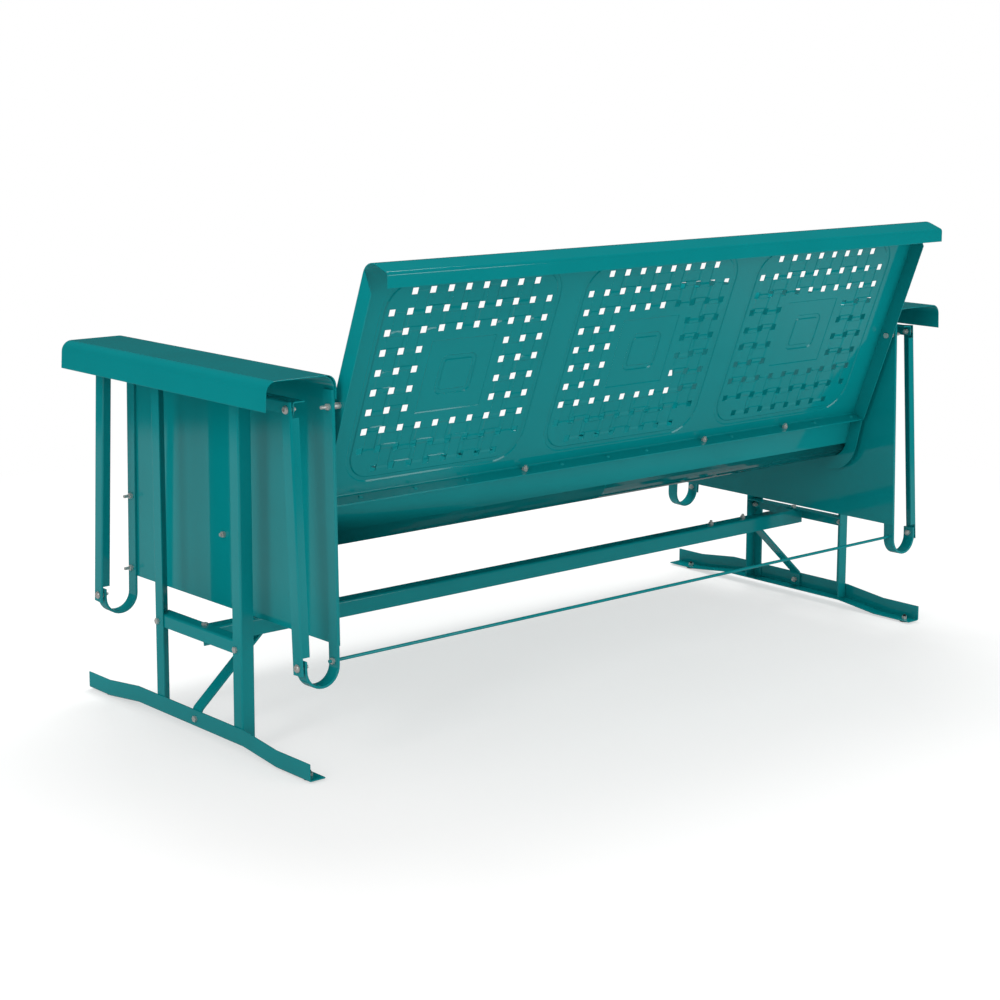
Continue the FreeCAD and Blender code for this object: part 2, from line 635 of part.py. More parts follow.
def leg(face_y, inward):
    """Upright angle: its outboard flange runs up past the top rail, its other flange stops below it."""
    foot = FOOT_Z0 + FOOT_RISE + ANGLE
    top = TOP_RAIL_Z - LEG_TOP_GAP
    low = min(face_y, face_y + inward * LEG_WIDTH)
    thin = min(face_y, face_y + inward * ANGLE)
    outer = box((LEG_X - ANGLE, low, foot), (LEG_X, low + LEG_WIDTH, top))
    inner = box((LEG_X - LEG_WIDTH, thin, foot), (LEG_X, thin + ANGLE, TOP_RAIL_Z - TOP_RAIL_WEB))
    return fused([outer, inner])


def cross_rail():
    """Angle between the legs of one side, its flange on top."""
    low = FRONT_LEG_Y + ANGLE
    path = [flat(PIVOT_SEAT_X, CROSS_Z - CROSS_WEB), flat(PIVOT_SEAT_X, CROSS_Z),
            flat(PIVOT_SEAT_X - CROSS_FLANGE, CROSS_Z)]
    rail = strip(path, [ROOT_R], ANGLE, front_view(low), Vector(0, REAR_LEG_Y - ANGLE - low, 0))
    rail = bolted(rail, [s - X * (2.0 * ANGLE) for s in LEG_SEATS], X, ANGLE)
    return bolted(rail, [TIE_SEAT], -Z, ANGLE)


def stretcher():
    """Angle across the whole frame, hung under the cross rails."""
    top = CROSS_Z - ANGLE
    end = PIVOT_SEAT_X - ANGLE - ROOT_R - STRETCHER_GAP
    path = [flat(STRETCHER_REAR_Y, top - STRETCHER_WEB), flat(STRETCHER_REAR_Y, top),
            flat(STRETCHER_REAR_Y - STRETCHER_FLANGE, top)]
    beam = strip(path, [ROOT_R], ANGLE, side_view(-end), X * (2.0 * end))
    under = [TIE_SEAT - Z * ANGLE] + [s + Z * (FLAT + ANGLE) for s in BRACE_SEATS]
    for seat in under:
        for x in (seat.x, -seat.x):
            beam = bolted(beam, [Vector(x, seat.y, seat.z)], -Z, ANGLE)
    return beam


def brace():
    """Flat bar from the foot rail up to the stretcher."""
    under = CROSS_Z - 2.0 * ANGLE
    path = [flat(LEG_X, FOOT_Z0 + FOOT_RISE + ANGLE), flat(LEG_X, BRACE_KNEE_Z),
            flat(BRACE_TOP_X, under), flat(BRACE_END_X, under)]
    bar = strip(path, [BRACE_BEND, BRACE_BEND], FLAT, front_view(BRACE_MID_Y - BRACE_WIDTH / 2.0),
                Vector(0, BRACE_WIDTH, 0))
    bar = bolted(bar, [FOOT_SEAT - X * (ANGLE + FLAT)], X, FLAT)
    return bolted(bar, BRACE_SEATS, Z, FLAT)


def foot_rail():
    """Angle on edge along the floor, its middle raised, with a glide under each end."""
    low = FOOT_Z0
    high = FOOT_Z0 + FOOT_RISE
    path = [flat(FRONT_Y, low), flat(FRONT_RISE_Y[0], low), flat(FRONT_RISE_Y[1], high),
            flat(REAR_DROP_Y[0], high), flat(REAR_DROP_Y[1], low), flat(FOOT_REAR_Y, low)]
    bends = [FOOT_RAIL_BEND] * 4
    web = strip(path, bends, FOOT_WEB, side_view(LEG_X), X * ANGLE)
    flange = strip(path, bends, ANGLE, side_view(LEG_X + ANGLE - FOOT_FLANGE), X * FOOT_FLANGE)
    rail = bolted(fused([web, flange]), [FOOT_SEAT], -X, ANGLE)
    return bolted(rail, GLIDE_SEATS, Z, ANGLE)


def foot_glide(seat):
    """Round foot with a stud up through the rail."""
    disc = rod(seat - Z * FOOT_Z0, Z * FOOT_Z0, GLIDE_R)
    return fused([disc, rod(seat, Z * (ANGLE + NUT_H + TIP), BOLT_R)])


def sleeve(point):
    """Tube that keeps the seat's or back's flange off the side panel."""
    start = at(SHELL_HALF, point)
    along = X * SLEEVE_LENGTH
    return rod(start, along, SLEEVE_R).cut(rod(start, along, BOLT_R + BOLT_FIT))


def rivet(x):
    """Rivet of the joint between seat and back, a low domed head on both sides."""
    low = at(x, on_back(-2.0 * SHEET, JOINT_IN))
    top = at(x, on_back(0, JOINT_IN))
    heads = []
    for base, axis in ((low, -UP_BACK_3D), (top, UP_BACK_3D)):
        heads.append(Part.makeCone(RIVET_HEAD_R, RIVET_CROWN_R, RIVET_HEAD_H, base, axis))
    return fused([rod(low, UP_BACK_3D * (2.0 * SHEET), RIVET_R)] + heads)


TOP_PIVOTS = [flat(y, TOP_PIVOT_Z) for y in (FRONT_PIVOT_Y[0], REAR_PIVOT_Y[0])]
LOW_PIVOTS = [flat(y, LOW_PIVOT_Z) for y in (FRONT_PIVOT_Y[1], REAR_PIVOT_Y[1])]
LEG_SEATS = [Vector(LEG_X, y, LEG_BOLT_Z) for y in LEG_BOLT_Y]
TIE_SEAT = Vector(TIE_BOLT_X, STRETCHER_REAR_Y - STRETCHER_FLANGE / 2.0, CROSS_Z)
BRACE_SEATS = [Vector(x, BRACE_MID_Y, CROSS_Z - 2.0 * ANGLE - FLAT) for x in BRACE_BOLT_X]
FOOT_SEAT = Vector(LEG_X + ANGLE, BRACE_MID_Y, BRACE_BOLT_Z)
GLIDE_SEATS = [Vector(GLIDE_X, y, FOOT_Z0) for y in GLIDE_Y]


def main():
    os.makedirs("parts", exist_ok=True)

    # Swinging seat
    export("back_panel", back_panel())
    export("seat_panel", seat_panel())
    export_pair("arm_cap", arm_cap())
    export_pair("side_panel", side_panel())
    export_pair("front_hanger", hanger(-1))
    export_pair("rear_hanger", hanger(1))
    export("tie_rod", tie_rod())
    rod_nut = nut(at(PANEL_X, on_hanger(LOW_PIVOT_Z, 1)), X, FLAT)
    export("tie_rod_nuts", both_sides([rod_nut]))
    sleeves = [UPPER_BOLT] + SEAT_SIDE_BOLTS
    export("spacer_sleeves", both_sides([sleeve(p) for p in sleeves]))
    long_places = [at(FLANGE_IN_X, p) for p in [UPPER_BOLT] + STRAP_BOLTS]
    export("hanger_bolts", both_sides([bolt(s, X, STRAP_GRIP, LONG_TIP) for s in long_places]))
    export("hanger_nuts", both_sides([nut(s, X, STRAP_GRIP) for s in long_places]))
    mid = at(FLANGE_IN_X, MID_BOLT)
    export("side_bolts", both_sides([bolt(mid, X, EAR_GRIP)]))
    export("side_nuts", both_sides([nut(mid, X, EAR_GRIP)]))
    joint = [at(x, on_back(-2.0 * SHEET, JOINT_IN)) for x in JOINT_BOLT_X]
    export("seam_bolts", Part.makeCompound([bolt(s, UP_BACK_3D, 2.0 * SHEET) for s in joint]))
    export("seam_nuts", Part.makeCompound([nut(s, UP_BACK_3D, 2.0 * SHEET) for s in joint]))
    export("seam_rivets", Part.makeCompound([rivet(x) for x in JOINT_RIVET_X]))
    inner = PIVOT_SEAT_X - FLAT
    export("lower_pivot_bushes", both_sides([pivot_bush(p) for p in LOW_PIVOTS]))
    export("lower_pivot_bolts", both_sides([pivot_bolt(p, inner, TIP) for p in LOW_PIVOTS]))
    export("lower_pivot_nuts", both_sides([nut(at(inner, p), -X, 0) for p in LOW_PIVOTS]))

    # Links
    export_pair("front_link", link(FRONT_PIVOT_Y[0], FRONT_PIVOT_Y[1], OPEN_PIVOT_CLEARANCE))
    export_pair("rear_link", link(REAR_PIVOT_Y[0], REAR_PIVOT_Y[1], PIVOT_CLEARANCE))

    # Standing frame
    export_pair("foot_rail", foot_rail())
    export("foot_glides", both_sides([foot_glide(s) for s in GLIDE_SEATS]))
    export("glide_nuts", both_sides([nut(s, Z, ANGLE) for s in GLIDE_SEATS]))
    export_pair("front_leg", bolted(leg(FRONT_LEG_Y, 1), LEG_SEATS[:1], -X, ANGLE))
    export_pair("rear_leg", bolted(leg(REAR_LEG_Y, -1), LEG_SEATS[1:], -X, ANGLE))
    export_pair("cross_rail", cross_rail())
    export_pair("top_rail", top_rail())
    export("stretcher", stretcher())
    export_pair("brace", brace())
    export("leg_bolts", both_sides([bolt(s, -X, 2.0 * ANGLE) for s in LEG_SEATS]))
    export("leg_nuts", both_sides([nut(s, -X, 2.0 * ANGLE) for s in LEG_SEATS]))
    export("stretcher_bolts", both_sides([bolt(TIE_SEAT, -Z, 2.0 * ANGLE, STRETCHER_TIP)]))
    export("stretcher_nuts", both_sides([nut(TIE_SEAT, -Z, 2.0 * ANGLE)]))
    grip = FLAT + ANGLE
    brace_bolts = [bolt(FOOT_SEAT, -X, grip)] + [bolt(s, Z, grip) for s in BRACE_SEATS]
    brace_nuts = [nut(FOOT_SEAT, -X, grip)] + [nut(s, Z, grip) for s in BRACE_SEATS]
    export("brace_bolts", both_sides(brace_bolts))
    export("brace_nuts", both_sides(brace_nuts))
    inner = PIVOT_SEAT_X - ANGLE
    export("upper_pivot_bushes", both_sides([pivot_bush(p) for p in TOP_PIVOTS]))
    export("upper_pivot_bolts", both_sides([pivot_bolt(p, inner, TIP) for p in TOP_PIVOTS]))
    export("upper_pivot_nuts", both_sides([nut(at(inner, p), -X, 0) for p in TOP_PIVOTS]))


if __name__ == "__main__":
    main()
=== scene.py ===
"""Looks of the pressed-steel glider bench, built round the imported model. Metres, +Z up."""
import bmesh
import bpy
import json
import math
from mathutils import Matrix, Vector


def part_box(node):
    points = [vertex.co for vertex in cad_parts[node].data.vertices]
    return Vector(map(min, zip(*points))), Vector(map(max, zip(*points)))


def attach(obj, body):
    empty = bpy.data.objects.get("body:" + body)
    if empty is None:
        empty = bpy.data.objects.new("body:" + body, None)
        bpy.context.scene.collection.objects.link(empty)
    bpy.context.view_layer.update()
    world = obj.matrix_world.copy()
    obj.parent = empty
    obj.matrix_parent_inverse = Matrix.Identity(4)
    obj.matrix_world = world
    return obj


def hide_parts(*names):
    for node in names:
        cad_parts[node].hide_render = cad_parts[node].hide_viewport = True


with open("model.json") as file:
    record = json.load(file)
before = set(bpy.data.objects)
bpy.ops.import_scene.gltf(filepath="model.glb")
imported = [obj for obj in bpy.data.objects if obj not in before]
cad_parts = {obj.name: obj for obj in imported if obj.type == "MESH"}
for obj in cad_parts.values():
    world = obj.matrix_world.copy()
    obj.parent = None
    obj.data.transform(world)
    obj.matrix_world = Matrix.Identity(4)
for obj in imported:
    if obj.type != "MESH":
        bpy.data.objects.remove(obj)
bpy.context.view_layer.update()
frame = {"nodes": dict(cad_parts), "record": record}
nodes = frame["nodes"]

MM = 0.001
X = Vector((1, 0, 0))
Y = Vector((0, 1, 0))
Z = Vector((0, 0, 1))

# Stock
SHEET = 1.5 * MM
ANGLE = 2.5 * MM
FLAT = 4.5 * MM
EDGE = 0.4 * MM               # rounding that paint leaves on a cut edge
BEND_STEPS = 8
SHARP = math.radians(28)      # folds steeper than this keep a crisp line

# Folds, as outer radii
CAP_BEND = 20 * MM
CAP_LIP_LEAN = 2.5 * MM
CAP_WALL = 42 * MM
PANEL_BEND = 22 * MM
PANEL_TAPER = 11 * MM         # each side edge of the side panel leans in this much
HANGER_BEND = 35 * MM
HANGER_LEAN = math.radians(1.373)
ANGLE_BEND = 4.5 * MM
LEG_BEND = 3.5 * MM
BRACE_BEND = 13.5 * MM
FOOT_BEND = 55 * MM

# Swing
MID_Y = -40 * MM
TOP_PIVOT = Vector((0, 296, 626)) * MM        # behind the middle
LOW_PIVOT = Vector((0, 321, 194)) * MM
LINK_WIDTH = 25 * MM
LINK_FLANGE = 15 * MM
LINK_END = 13 * MM
LINK_TRIM = (13 * MM, 18 * MM)

# Back and seat in side view, with the radii on the path's own face
SHELL_HALF = 712.5 * MM
LEAN = math.radians(20.6)
CREASE = Vector((0, 191, 451)) * MM
UP_BACK = Vector((0, math.sin(LEAN), math.cos(LEAN)))
BEHIND = Vector((0, math.cos(LEAN), -math.sin(LEAN)))
SIDE_FLANGE = 30 * MM

# Pressed squares
SQUARE_STEP = 455 * MM
HOLE = 12.8 * MM
PITCH = (39.2 * MM, 37.7 * MM)
GRID = 10
BLANK = 4
RING_IN = 14.6 * MM           # inner line of the border, out from the outermost hole centres
RING_BEND = 48 * MM           # inner radius of its corners
BEAD = 12 * MM                # width of the border and of the middle frame
BEAD_SIDE = 2.2 * MM
BEAD_RISE = 1.7 * MM
WEAVE_EDGE = 3.5 * MM         # plain strip round the outermost holes
WEAVE_SIDE = 1.8 * MM
WEAVE_RISE = 1.3 * MM
FIELD = (73.5 * MM, 71.0 * MM)
FIELD_EDGE = 3.0 * MM         # plain strip round the field
FRAME_IN = 31.5 * MM          # from the edge of the field to the frame round its middle
FRAME_BEND = 5 * MM           # inner radius of the frame's corners
CORNER_STEPS = 12


def box(node):
    """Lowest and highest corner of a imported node."""
    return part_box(node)


def point(x, y, z):
    return Vector((x, y, z))


def on_back(up, behind):
    """Point of the side view, measured from the crease of the back's rear face."""
    return CREASE + UP_BACK * up + BEHIND * behind


def open_path(bm, points):
    """Edges through a row of points."""
    verts = [bm.verts.new(p) for p in points]
    return [bm.edges.new(pair) for pair in zip(verts, verts[1:])]


def closed_path(bm, points):
    """Edges round a loop of points."""
    verts = [bm.verts.new(p) for p in points]
    return [bm.edges.new(pair) for pair in zip(verts, verts[1:] + verts[:1])]


def sweep(bm, edges, travel):
    """Surface that a row of edges leaves behind as it moves."""
    made = bmesh.ops.extrude_edge_only(bm, edges=edges)["geom"]
    verts = [g for g in made if isinstance(g, bmesh.types.BMVert)]
    bmesh.ops.translate(bm, verts=verts, vec=travel)
    return [g for g in made if isinstance(g, bmesh.types.BMEdge)]


def fold_line(bm, corner, travel):
    """The edge that runs along a fold of a swept path."""
    tips = (corner, corner + travel)
    for edge in bm.edges:
        if all(min((v.co - tip).length for tip in tips) < 1e-6 for v in edge.verts):
            return edge
    raise ValueError("no fold there")


def round_folds(bm, points, bends, travel):
    """Turns the sharp folds of a swept path into bends of the given radii."""
    for before, corner, after, radius in zip(points, points[1:], points[2:], bends):
        turn = (corner - before).angle(after - corner)
        reach = radius * math.tan(turn / 2.0)
        bmesh.ops.bevel(bm, geom=[fold_line(bm, corner, travel)], offset=reach, offset_type="OFFSET",
                        segments=BEND_STEPS, profile=0.5, affect="EDGES", material=-1)


def thicken(bm, at, toward, thickness):
    """Gives a surface its wall; the face nearest to the point gets it on the side of the vector."""
    bmesh.ops.recalc_face_normals(bm, faces=bm.faces[:])
    face = min(bm.faces, key=lambda f: (f.calc_center_median() - at).length)
    if face.normal.dot(toward) > 0:
        bmesh.ops.reverse_faces(bm, faces=bm.faces[:])
    bmesh.ops.solidify(bm, geom=bm.faces[:], thickness=thickness)


def folded(points, bends, travel, toward, thickness, trim=None):
    """Sheet or bar folded along a path, with its wall on the side of the vector at the first leg."""
    bm = bmesh.new()
    sweep(bm, open_path(bm, points), travel)
    round_folds(bm, points, bends, travel)
    at = (points[0] + points[1] + travel) / 2.0
    if trim:
        trim(bm)
    thicken(bm, at, toward, thickness)
    return bm


def cut_off(bm, place, outward):
    """Takes away what lies outside a plane."""
    geom = bm.verts[:] + bm.edges[:] + bm.faces[:]
    bmesh.ops.bisect_plane(bm, geom=geom, plane_co=place, plane_no=outward, clear_outer=True)


def score(bm, place, across):
    """Draws a line over the surface without taking anything away."""
    geom = bm.verts[:] + bm.edges[:] + bm.faces[:]
    bmesh.ops.bisect_plane(bm, geom=geom, plane_co=place, plane_no=across)


def drop_faces(bm, test):
    """Deletes the faces whose middle passes the test."""
    gone = [f for f in bm.faces if test(f.calc_center_median())]
    bmesh.ops.delete(bm, geom=gone, context="FACES")


def piece(name, bm, body, replaced, finish, edge=EDGE, crease=math.radians(32)):
    """Makes the object, keeps its folds crisp, rounds its edges, gives it a finish and lets it ride."""
    bmesh.ops.remove_doubles(bm, verts=bm.verts[:], dist=1e-7)
    mesh = bpy.data.meshes.new(name)
    for face in bm.faces:
        face.smooth = True
    for line in bm.edges:
        if len(line.link_faces) == 2 and line.calc_face_angle() > SHARP:
            line.smooth = False
    bm.to_mesh(mesh)
    bm.free()
    made = bpy.data.objects.new(name, mesh)
    bpy.context.scene.collection.objects.link(made)
    mesh.materials.append(finish)
    if edge:
        bevel = made.modifiers.new("cut edges", "BEVEL")
        bevel.width = edge
        bevel.segments = 2
        bevel.limit_method = "ANGLE"
        bevel.angle_limit = crease
        bevel.harden_normals = True
    weighted = made.modifiers.new("flat faces", "WEIGHTED_NORMAL")
    weighted.keep_sharp = True
    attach(made, body)
    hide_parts(replaced)
    return made


def mirrored(bm):
    """The same piece for the other end of the bench."""
    other = bm.copy()
    bmesh.ops.scale(other, vec=(-1, 1, 1), verts=other.verts[:])
    bmesh.ops.reverse_faces(other, faces=other.faces[:])
    return other


def pair(name, bm, body, slot, finish):
    """The left piece and its mirror image."""
    other = mirrored(bm)
    piece("shown_left_" + name, bm, body, "left_" + name, finish)
    piece("shown_right_" + name, other, body, "right_" + name, finish)


# Materials
def new_group(name, inputs, outputs):
    """Empty shader group with named sockets."""
    group = bpy.data.node_groups.new(name, "ShaderNodeTree")
    for label, kind, value in inputs:
        socket = group.interface.new_socket(name=label, in_out="INPUT", socket_type=kind)
        socket.default_value = value
    for label, kind in outputs:
        group.interface.new_socket(name=label, in_out="OUTPUT", socket_type=kind)
    return group, group.nodes.new("NodeGroupInput"), group.nodes.new("NodeGroupOutput")


def add(tree, kind, **values):
    node = tree.nodes.new(kind)
    for key, value in values.items():
        setattr(node, key, value)
    return node


def coat_group():
    """Powder coat: tone drift, thin paint on edges, orange peel, dust, and waves in the sheet under it."""
    group, given, out = new_group(
        "powder_coat",
        [("Colour", "NodeSocketColor", (0.0, 0.2, 0.2, 1)), ("Edge colour", "NodeSocketColor", (0.2, 0.5, 0.5, 1)),
         ("Edge", "NodeSocketFloat", 0.5), ("Drift", "NodeSocketFloat", 0.1), ("Gloss", "NodeSocketFloat", 0.25),
         ("Peel", "NodeSocketFloat", 0.1), ("Wave", "NodeSocketFloat", 0.5)],
        [("Colour", "NodeSocketColor"), ("Roughness", "NodeSocketFloat"), ("Normal", "NodeSocketVector")])
    links = group.links
    place = add(group, "ShaderNodeTexCoord")
    drift = add(group, "ShaderNodeTexNoise")
    drift.inputs["Scale"].default_value = 5.0
    drift.inputs["Detail"].default_value = 3.0
    links.new(place.outputs["Object"], drift.inputs["Vector"])
    spread = add(group, "ShaderNodeMapRange")
    spread.inputs["From Min"].default_value = 0.3
    spread.inputs["From Max"].default_value = 0.7
    spread.inputs["To Min"].default_value = -1.0
    spread.inputs["To Max"].default_value = 1.0
    links.new(drift.outputs["Fac"], spread.inputs["Value"])
    tone = add(group, "ShaderNodeMath", operation="MULTIPLY_ADD")
    tone.inputs[2].default_value = 1.0
    links.new(spread.outputs["Result"], tone.inputs[0])
    links.new(given.outputs["Drift"], tone.inputs[1])
    shade = add(group, "ShaderNodeVectorMath", operation="SCALE")
    links.new(given.outputs["Colour"], shade.inputs[0])
    links.new(tone.outputs[0], shade.inputs["Scale"])
    shape = add(group, "ShaderNodeNewGeometry")
    ridge = add(group, "ShaderNodeMapRange")
    ridge.inputs["From Min"].default_value = 0.52
    ridge.inputs["From Max"].default_value = 0.62
    links.new(shape.outputs["Pointiness"], ridge.inputs["Value"])
    wear = add(group, "ShaderNodeMath", operation="MULTIPLY")
    links.new(ridge.outputs["Result"], wear.inputs[0])
    links.new(given.outputs["Edge"], wear.inputs[1])
    mix = add(group, "ShaderNodeMix", data_type="RGBA")
    links.new(wear.outputs[0], mix.inputs["Factor"])
    links.new(shade.outputs[0], mix.inputs["A"])
    links.new(given.outputs["Edge colour"], mix.inputs["B"])
    links.new(mix.outputs["Result"], out.inputs["Colour"])
    dust = add(group, "ShaderNodeTexNoise")
    dust.inputs["Scale"].default_value = 30.0
    dust.inputs["Detail"].default_value = 4.0
    links.new(place.outputs["Object"], dust.inputs["Vector"])
    rough = add(group, "ShaderNodeMath", operation="MULTIPLY_ADD")
    rough.inputs[1].default_value = 0.07
    links.new(dust.outputs["Fac"], rough.inputs[0])
    links.new(given.outputs["Gloss"], rough.inputs[2])
    links.new(rough.outputs[0], out.inputs["Roughness"])
    peel = add(group, "ShaderNodeTexNoise")
    peel.inputs["Scale"].default_value = 260.0
    peel.inputs["Detail"].default_value = 1.0
    links.new(place.outputs["Object"], peel.inputs["Vector"])
    squeeze = add(group, "ShaderNodeVectorMath", operation="MULTIPLY")
    squeeze.inputs[1].default_value = (1.0, 1.0, 0.3)
    links.new(place.outputs["Object"], squeeze.inputs[0])
    sag = add(group, "ShaderNodeTexNoise")
    sag.inputs["Scale"].default_value = 7.0
    sag.inputs["Detail"].default_value = 0.0
    links.new(squeeze.outputs[0], sag.inputs["Vector"])
    wave = add(group, "ShaderNodeBump")
    wave.inputs["Distance"].default_value = 0.004
    links.new(given.outputs["Wave"], wave.inputs["Strength"])
    links.new(sag.outputs["Fac"], wave.inputs["Height"])
    bump = add(group, "ShaderNodeBump")
    bump.inputs["Distance"].default_value = 0.0004
    links.new(wave.outputs["Normal"], bump.inputs["Normal"])
    links.new(given.outputs["Peel"], bump.inputs["Strength"])
    links.new(peel.outputs["Fac"], bump.inputs["Height"])
    links.new(bump.outputs["Normal"], out.inputs["Normal"])
    return group


def metal_group():
    """Zinc plate: crystal-like tone, dull spots and a faint grain."""
    group, given, out = new_group(
        "zinc_plate",
        [("Colour", "NodeSocketColor", (0.6, 0.6, 0.58, 1)), ("Grain", "NodeSocketFloat", 300.0)],
        [("Colour", "NodeSocketColor"), ("Roughness", "NodeSocketFloat"), ("Normal", "NodeSocketVector")])
    links = group.links
    place = add(group, "ShaderNodeTexCoord")
    spangle = add(group, "ShaderNodeTexVoronoi")
    links.new(place.outputs["Object"], spangle.inputs["Vector"])
    links.new(given.outputs["Grain"], spangle.inputs["Scale"])
    tone = add(group, "ShaderNodeMapRange")
    tone.inputs["To Min"].default_value = 0.75
    tone.inputs["To Max"].default_value = 1.1
    links.new(spangle.outputs["Distance"], tone.inputs["Value"])
    shade = add(group, "ShaderNodeVectorMath", operation="SCALE")
    links.new(given.outputs["Colour"], shade.inputs[0])
    links.new(tone.outputs["Result"], shade.inputs["Scale"])
    links.new(shade.outputs[0], out.inputs["Colour"])
    rough = add(group, "ShaderNodeMapRange")
    rough.inputs["To Min"].default_value = 0.22
    rough.inputs["To Max"].default_value = 0.45
    links.new(spangle.outputs["Distance"], rough.inputs["Value"])
    links.new(rough.outputs["Result"], out.inputs["Roughness"])
    bump = add(group, "ShaderNodeBump")
    bump.inputs["Strength"].default_value = 0.2
    bump.inputs["Distance"].default_value = 0.0002
    links.new(spangle.outputs["Distance"], bump.inputs["Height"])
    links.new(bump.outputs["Normal"], out.inputs["Normal"])
    return group


COAT = coat_group()
PLATE = metal_group()


def finish(name, group, values):
    """Material whose surface comes from one of the groups."""
    material = bpy.data.materials.new(name)
    material.use_nodes = True
    tree = material.node_tree
    surface = tree.nodes["Principled BSDF"]
    source = tree.nodes.new("ShaderNodeGroup")
    source.node_tree = group
    for label, value in values.items():
        source.inputs[label].default_value = value
    tree.links.new(source.outputs["Colour"], surface.inputs["Base Color"])
    tree.links.new(source.outputs["Roughness"], surface.inputs["Roughness"])
    tree.links.new(source.outputs["Normal"], surface.inputs["Normal"])
    return material, surface


def paint(name, colour, gloss, peel, drift, edge, wave):
    """Gloss powder coat."""
    lighter = tuple(min(1.0, c * 1.6 + 0.03) for c in colour[:3]) + (1,)
    material, surface = finish(name, COAT, {"Colour": colour, "Edge colour": lighter, "Edge": edge,
                                            "Drift": drift, "Gloss": gloss, "Peel": peel, "Wave": wave})
    surface.inputs["Specular IOR Level"].default_value = 0.4
    surface.inputs["Coat Weight"].default_value = 0.1
    surface.inputs["Coat Roughness"].default_value = 0.05
    return material


TEAL = (0.0005, 0.246, 0.262, 1)
SHEET_PAINT = paint("sheet_enamel", TEAL, 0.03, 0.06, 0.04, 0.10, 0.35)
PRESSED_PAINT = paint("pressed_enamel", TEAL, 0.03, 0.06, 0.04, 0.10, 0.0)
BAR_PAINT = paint("bar_enamel", (0.0006, 0.236, 0.253, 1), 0.07, 0.10, 0.05, 0.12, 0.2)
FRAME_PAINT = paint("angle_enamel", (0.0006, 0.240, 0.257, 1), 0.07, 0.10, 0.05, 0.12, 0.2)
RIVET_PAINT = paint("rivet_enamel", (0.002, 0.27, 0.285, 1), 0.12, 0.12, 0.08, 0.2, 0.0)
ZINC, zinc_surface = finish("zinc_fasteners", PLATE, {"Colour": (0.72, 0.71, 0.68, 1), "Grain": 700.0})
zinc_surface.inputs["Metallic"].default_value = 0.6
GLIDE, glide_surface = finish("glide_plastic", PLATE, {"Colour": (0.02, 0.02, 0.02, 1), "Grain": 900.0})

for node in frame["record"]["subparts"]:
    cad = nodes[node["node"]]
    kept = {"sheet_paint": SHEET_PAINT, "bar_paint": BAR_PAINT, "frame_paint": FRAME_PAINT,
            "rivet_paint": RIVET_PAINT, "zinc": ZINC, "glide": GLIDE}[node["material_slot"]]
    cad.data.materials.clear()
    cad.data.materials.append(kept)



# Arm caps and side panels
def arm_cap():
    low, high = box("left_arm_cap")
    outer = high.x - CAP_LIP_LEAN
    path = [point(high.x, low.y, low.z), point(outer, low.y, high.z), point(low.x, low.y, high.z),
            point(low.x, low.y, high.z - CAP_WALL)]
    return folded(path, [CAP_BEND, CAP_BEND], Y * (high.y - low.y), -X, SHEET)


def side_panel():
    low, high = box("left_side_panel")
    path = [point(high.x, low.y, high.z), point(low.x, low.y, high.z), point(low.x, low.y, low.z)]

    def taper(bm):
        for end, foot in ((-1, low.y), (1, high.y)):
            slope = point(0, end * (high.z - low.z), PANEL_TAPER).normalized()
            cut_off(bm, point(0, foot, low.z), slope)

    return folded(path, [PANEL_BEND], Y * (high.y - low.y), -Z, SHEET, taper)


pair("arm_cap", arm_cap(), "glider", "sheet_paint", SHEET_PAINT)
pair("side_panel", side_panel(), "glider", "sheet_paint", SHEET_PAINT)


# Hangers
def hanger(end):
    """Flat bar with its U, bent upright and then leaned about the lower pivot."""
    low, high = box("left_top_rail")
    seat_x = high.x
    panel_x = box("left_side_panel")[0].x + SHEET
    pivot = point(0, MID_Y + end * LOW_PIVOT.y, LOW_PIVOT.z)
    foot = pivot.y - HANGER_WIDTH / 2.0
    path = [point(panel_x, foot, HANGER_TOP), point(panel_x, foot, HANGER_LOW),
            point(seat_x, foot, HANGER_LOW), point(seat_x, foot, LOW_PIVOT.z + HANGER_END)]
    bm = folded(path, [HANGER_BEND, HANGER_BEND], Y * HANGER_WIDTH, X, FLAT)
    bmesh.ops.rotate(bm, verts=bm.verts[:], cent=pivot, matrix=Matrix.Rotation(end * HANGER_LEAN, 3, "X"))
    return bm


HANGER_WIDTH = 25 * MM
HANGER_TOP = 655 * MM
HANGER_LOW = 154 * MM
HANGER_END = 12 * MM
pair("front_hanger", hanger(-1), "glider", "bar_paint", BAR_PAINT)
pair("rear_hanger", hanger(1), "glider", "bar_paint", BAR_PAINT)


# Links
def link(end):
    """Angle between two pivots; its flange, on the rear edge, stops short of both."""
    out = box("left_front_link")[1].x
    top = point(out, MID_Y + end * TOP_PIVOT.y, TOP_PIVOT.z)
    low = point(out, MID_Y + end * LOW_PIVOT.y, LOW_PIVOT.z)
    down = (low - top).normalized()
    rear = X.cross(down) * -1.0
    if rear.y < 0:
        rear = -rear
    half = rear * (LINK_WIDTH / 2.0)
    start = top - down * LINK_END
    travel = low - top + down * (2.0 * LINK_END)
    path = [start - half, start + half, start + half - X * (LINK_FLANGE + ANGLE)]

    def trim(bm):
        high = top + down * LINK_TRIM[0]
        foot = low - down * LINK_TRIM[1]
        score(bm, high, down)
        score(bm, foot, down)
        web = out - LEG_BEND

        def spare(p):
            beyond = (p - high).dot(down) < 0 or (p - foot).dot(down) > 0
            return beyond and p.x < web

        drop_faces(bm, spare)

    return folded(path, [LEG_BEND], travel, -X, ANGLE, trim)


pair("front_link", link(-1), "front_links", "bar_paint", BAR_PAINT)
pair("rear_link", link(1), "rear_links", "bar_paint", BAR_PAINT)


# Standing frame
def top_rail():
    low, high = box("left_top_rail")
    path = [point(high.x, low.y, low.z), point(high.x, low.y, high.z), point(low.x, low.y, high.z)]
    return folded(path, [ANGLE_BEND], Y * (high.y - low.y), -X, ANGLE)


